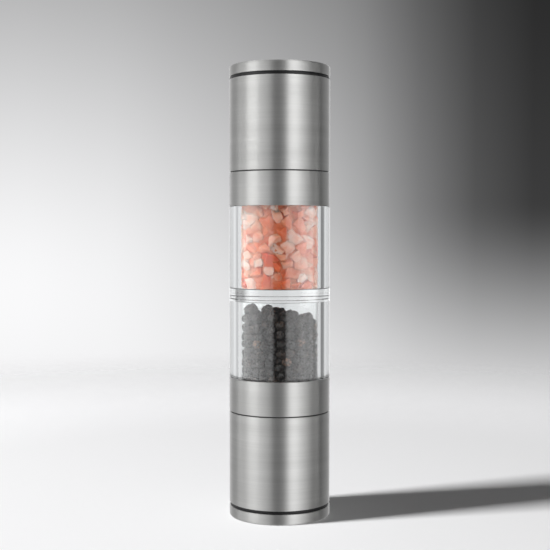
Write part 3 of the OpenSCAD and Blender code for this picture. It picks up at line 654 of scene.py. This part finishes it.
floor.visible_glossy = floor.visible_transmission = floor.visible_shadow = False

# The floor is left out of the boxes' light, so that only the key lamp casts a shadow on it.
unlit = bpy.data.collections.new("floor_out_of_the_boxes")
unlit.objects.link(floor)
unlit.collection_objects[0].light_linking.link_state = "EXCLUDE"


def soft_box(name, start, end, low, high, radiance, distance=0.9):
    """A flat lamp of even brightness that spans two azimuths and two heights.

    The azimuths are in degrees from the camera to the right, the heights in metres.
    """
    wide = 2 * distance * math.tan(math.radians(end - start) / 2)
    lamp = bpy.data.lights.new(name, "AREA")
    lamp.shape, lamp.size, lamp.size_y = "RECTANGLE", wide, high - low
    lamp.energy = radiance * math.pi * wide * (high - low)
    box = bpy.data.objects.new(name, lamp)
    bpy.context.collection.objects.link(box)
    turn = math.radians(start + end) / 2
    box.location = (distance * math.sin(turn), -distance * math.cos(turn), (low + high) / 2)
    box.rotation_euler = (math.radians(90), 0, turn)
    return box


for name, start, end, low, high, radiance in (
    ("left_far_box", -108, -80, -0.06, 0.17, 1.3),
    ("left_main_box", -80, -50, -0.06, 0.7, 1.45),
    ("left_near_box", -50, -17, -0.06, 0.3, 0.5),
    ("right_near_box", 17, 50, -0.06, 0.9, 0.62),
    ("right_main_low_box", 50, 74, -0.06, 0.05, 1.5),
    ("right_main_high_box", 50, 74, 0.05, 0.17, 2.5),
    ("right_far_low_box", 74, 99, -0.06, 0.05, 1.1),
    ("right_far_high_box", 74, 99, 0.05, 0.17, 2.0),
):
    soft_box(name, start, end, low, high, radiance).light_linking.receiver_collection = unlit

# The key lamp stands high at the left and isn't mirrored in the steel or the jars.
key = soft_box("key", -77.7, -66.3, 1.63, 1.95, 198, distance=1.6)
key.rotation_euler = (math.radians(42), 0, math.radians(-72))
key.visible_glossy = False

world = bpy.data.worlds.new("room")
world.use_nodes = True
bpy.context.scene.world = world
tree = world.node_tree
room = tree.nodes["Background"]
place = add(tree, "ShaderNodeTexCoord")
heading = add(tree, "ShaderNodeSeparateXYZ", {"Vector": place.outputs["Generated"]})
behind = add(
    tree, "ShaderNodeMath", {0: heading.outputs["X"], 1: heading.outputs["Y"]}, operation="ARCTAN2")
side = add(
    tree, "ShaderNodeMapRange", {"Value": behind.outputs["Value"]}, From_Min=-math.pi, From_Max=math.pi)


def levels(stops):
    """A ramp of light round the room: the angle from straight behind, to the right, and the light there."""
    ramp = add(tree, "ShaderNodeValToRGB", {"Fac": side.outputs["Result"]})
    ramp.color_ramp.elements.remove(ramp.color_ramp.elements[1])
    for i, (angle, light) in enumerate(stops):
        spot = (angle + 180) / 360
        stop = ramp.color_ramp.elements[0] if i == 0 else ramp.color_ramp.elements.new(spot)
        stop.position = spot
        stop.color = (light, light, light * 1.01, 1)
    return ramp


# The room as the camera sees it, as the steel mirrors it, and as it is seen through the jars.
shown = levels([
    (-180, 0.8), (-60, 0.85), (-13, 1.0), (-8, 0.93), (-5, 0.82), (-3, 0.76), (3.6, 0.52), (5.3, 0.37),
    (7.3, 0.22), (9.8, 0.105), (12.8, 0.05), (48, 0.08), (90, 0.5), (180, 0.8),
])
mirrored = levels([
    (-180, 0.24), (-165, 0.24), (-158, 0.48), (-146, 0.66), (-134, 0.9), (-124, 0.75), (-116, 0.8),
    (-108, 0.72), (-93, 0.55), (-76, 0.52), (-60, 0.52), (-45, 0.45), (-25, 0.85), (0, 1.15), (20, 0.95),
    (32, 0.4), (52, 0.35), (66, 0.19), (85, 0.02), (100, 0.02), (109, 0.32), (120, 0.6), (132, 1.1),
    (140, 1.35), (149, 1.35), (156, 1.15), (161, 0.6), (168, 0.32), (180, 0.24),
])
through = levels([
    (-180, 0), (-166, 0), (-162, 1.35), (-88, 1.35), (-75, 0.9), (-62, 0.7), (-50, 0.7), (-47, 0.55),
    (-36, 0.6), (-31, 0.9), (-24, 0.86), (-18, 0.72), (18, 0.72), (24, 0.86), (29, 0.6), (33, 0.25),
    (47, 0.2), (50, 0.7), (62, 0.75), (75, 0.9), (88, 1.35), (162, 1.35), (166, 0), (180, 0),
])
rise = add(
    tree, "ShaderNodeMapRange", {"Value": heading.outputs["Z"]},
    From_Min=-0.1, From_Max=0.35, To_Min=1.0, To_Max=0.3, interpolation_type="SMOOTHSTEP",
)
wall = add(
    tree, "ShaderNodeVectorMath", {0: shown.outputs["Color"], "Scale": rise.outputs["Result"]},
    operation="SCALE",
)
ground = add(
    tree, "ShaderNodeMapRange", {"Value": heading.outputs["Z"]},
    From_Min=-0.22, From_Max=0.03, interpolation_type="SMOOTHSTEP",
)
backdrop = add(
    tree, "ShaderNodeMix", {"Factor": ground.outputs["Result"], "B": wall.outputs["Vector"]},
    data_type="RGBA",
)
backdrop.inputs["A"].default_value = colour("#f0f0f1")
path = add(tree, "ShaderNodeLightPath")
bounced = add(
    tree, "ShaderNodeMix", {"Factor": path.outputs["Is Glossy Ray"], "B": mirrored.outputs["Color"]},
    data_type="RGBA",
)
bounced.inputs["A"].default_value = (0.1, 0.1, 0.1, 1)
passed = add(
    tree, "ShaderNodeMix",
    {"Factor": path.outputs["Is Transmission Ray"], "A": bounced.outputs["Result"],
     "B": through.outputs["Color"]},
    data_type="RGBA",
)
light = add(
    tree, "ShaderNodeMix",
    {"Factor": path.outputs["Is Camera Ray"], "A": passed.outputs["Result"],
     "B": backdrop.outputs["Result"]},
    data_type="RGBA",
)
tree.links.new(light.outputs["Result"], room.inputs["Color"])

tilt, pan = 2.17, 0.2345  # degrees down and to the left
camera = bpy.data.objects.new("camera", bpy.data.cameras.new("camera"))
bpy.context.collection.objects.link(camera)
camera.data.sensor_width = 36
camera.data.lens = 73.57
camera.location = (0, -0.515, 0.1296)
camera.rotation_euler = (math.radians(90 - tilt), 0, math.radians(pan))
bpy.context.scene.camera = camera
bpy.context.scene.view_settings.view_transform = "Standard"
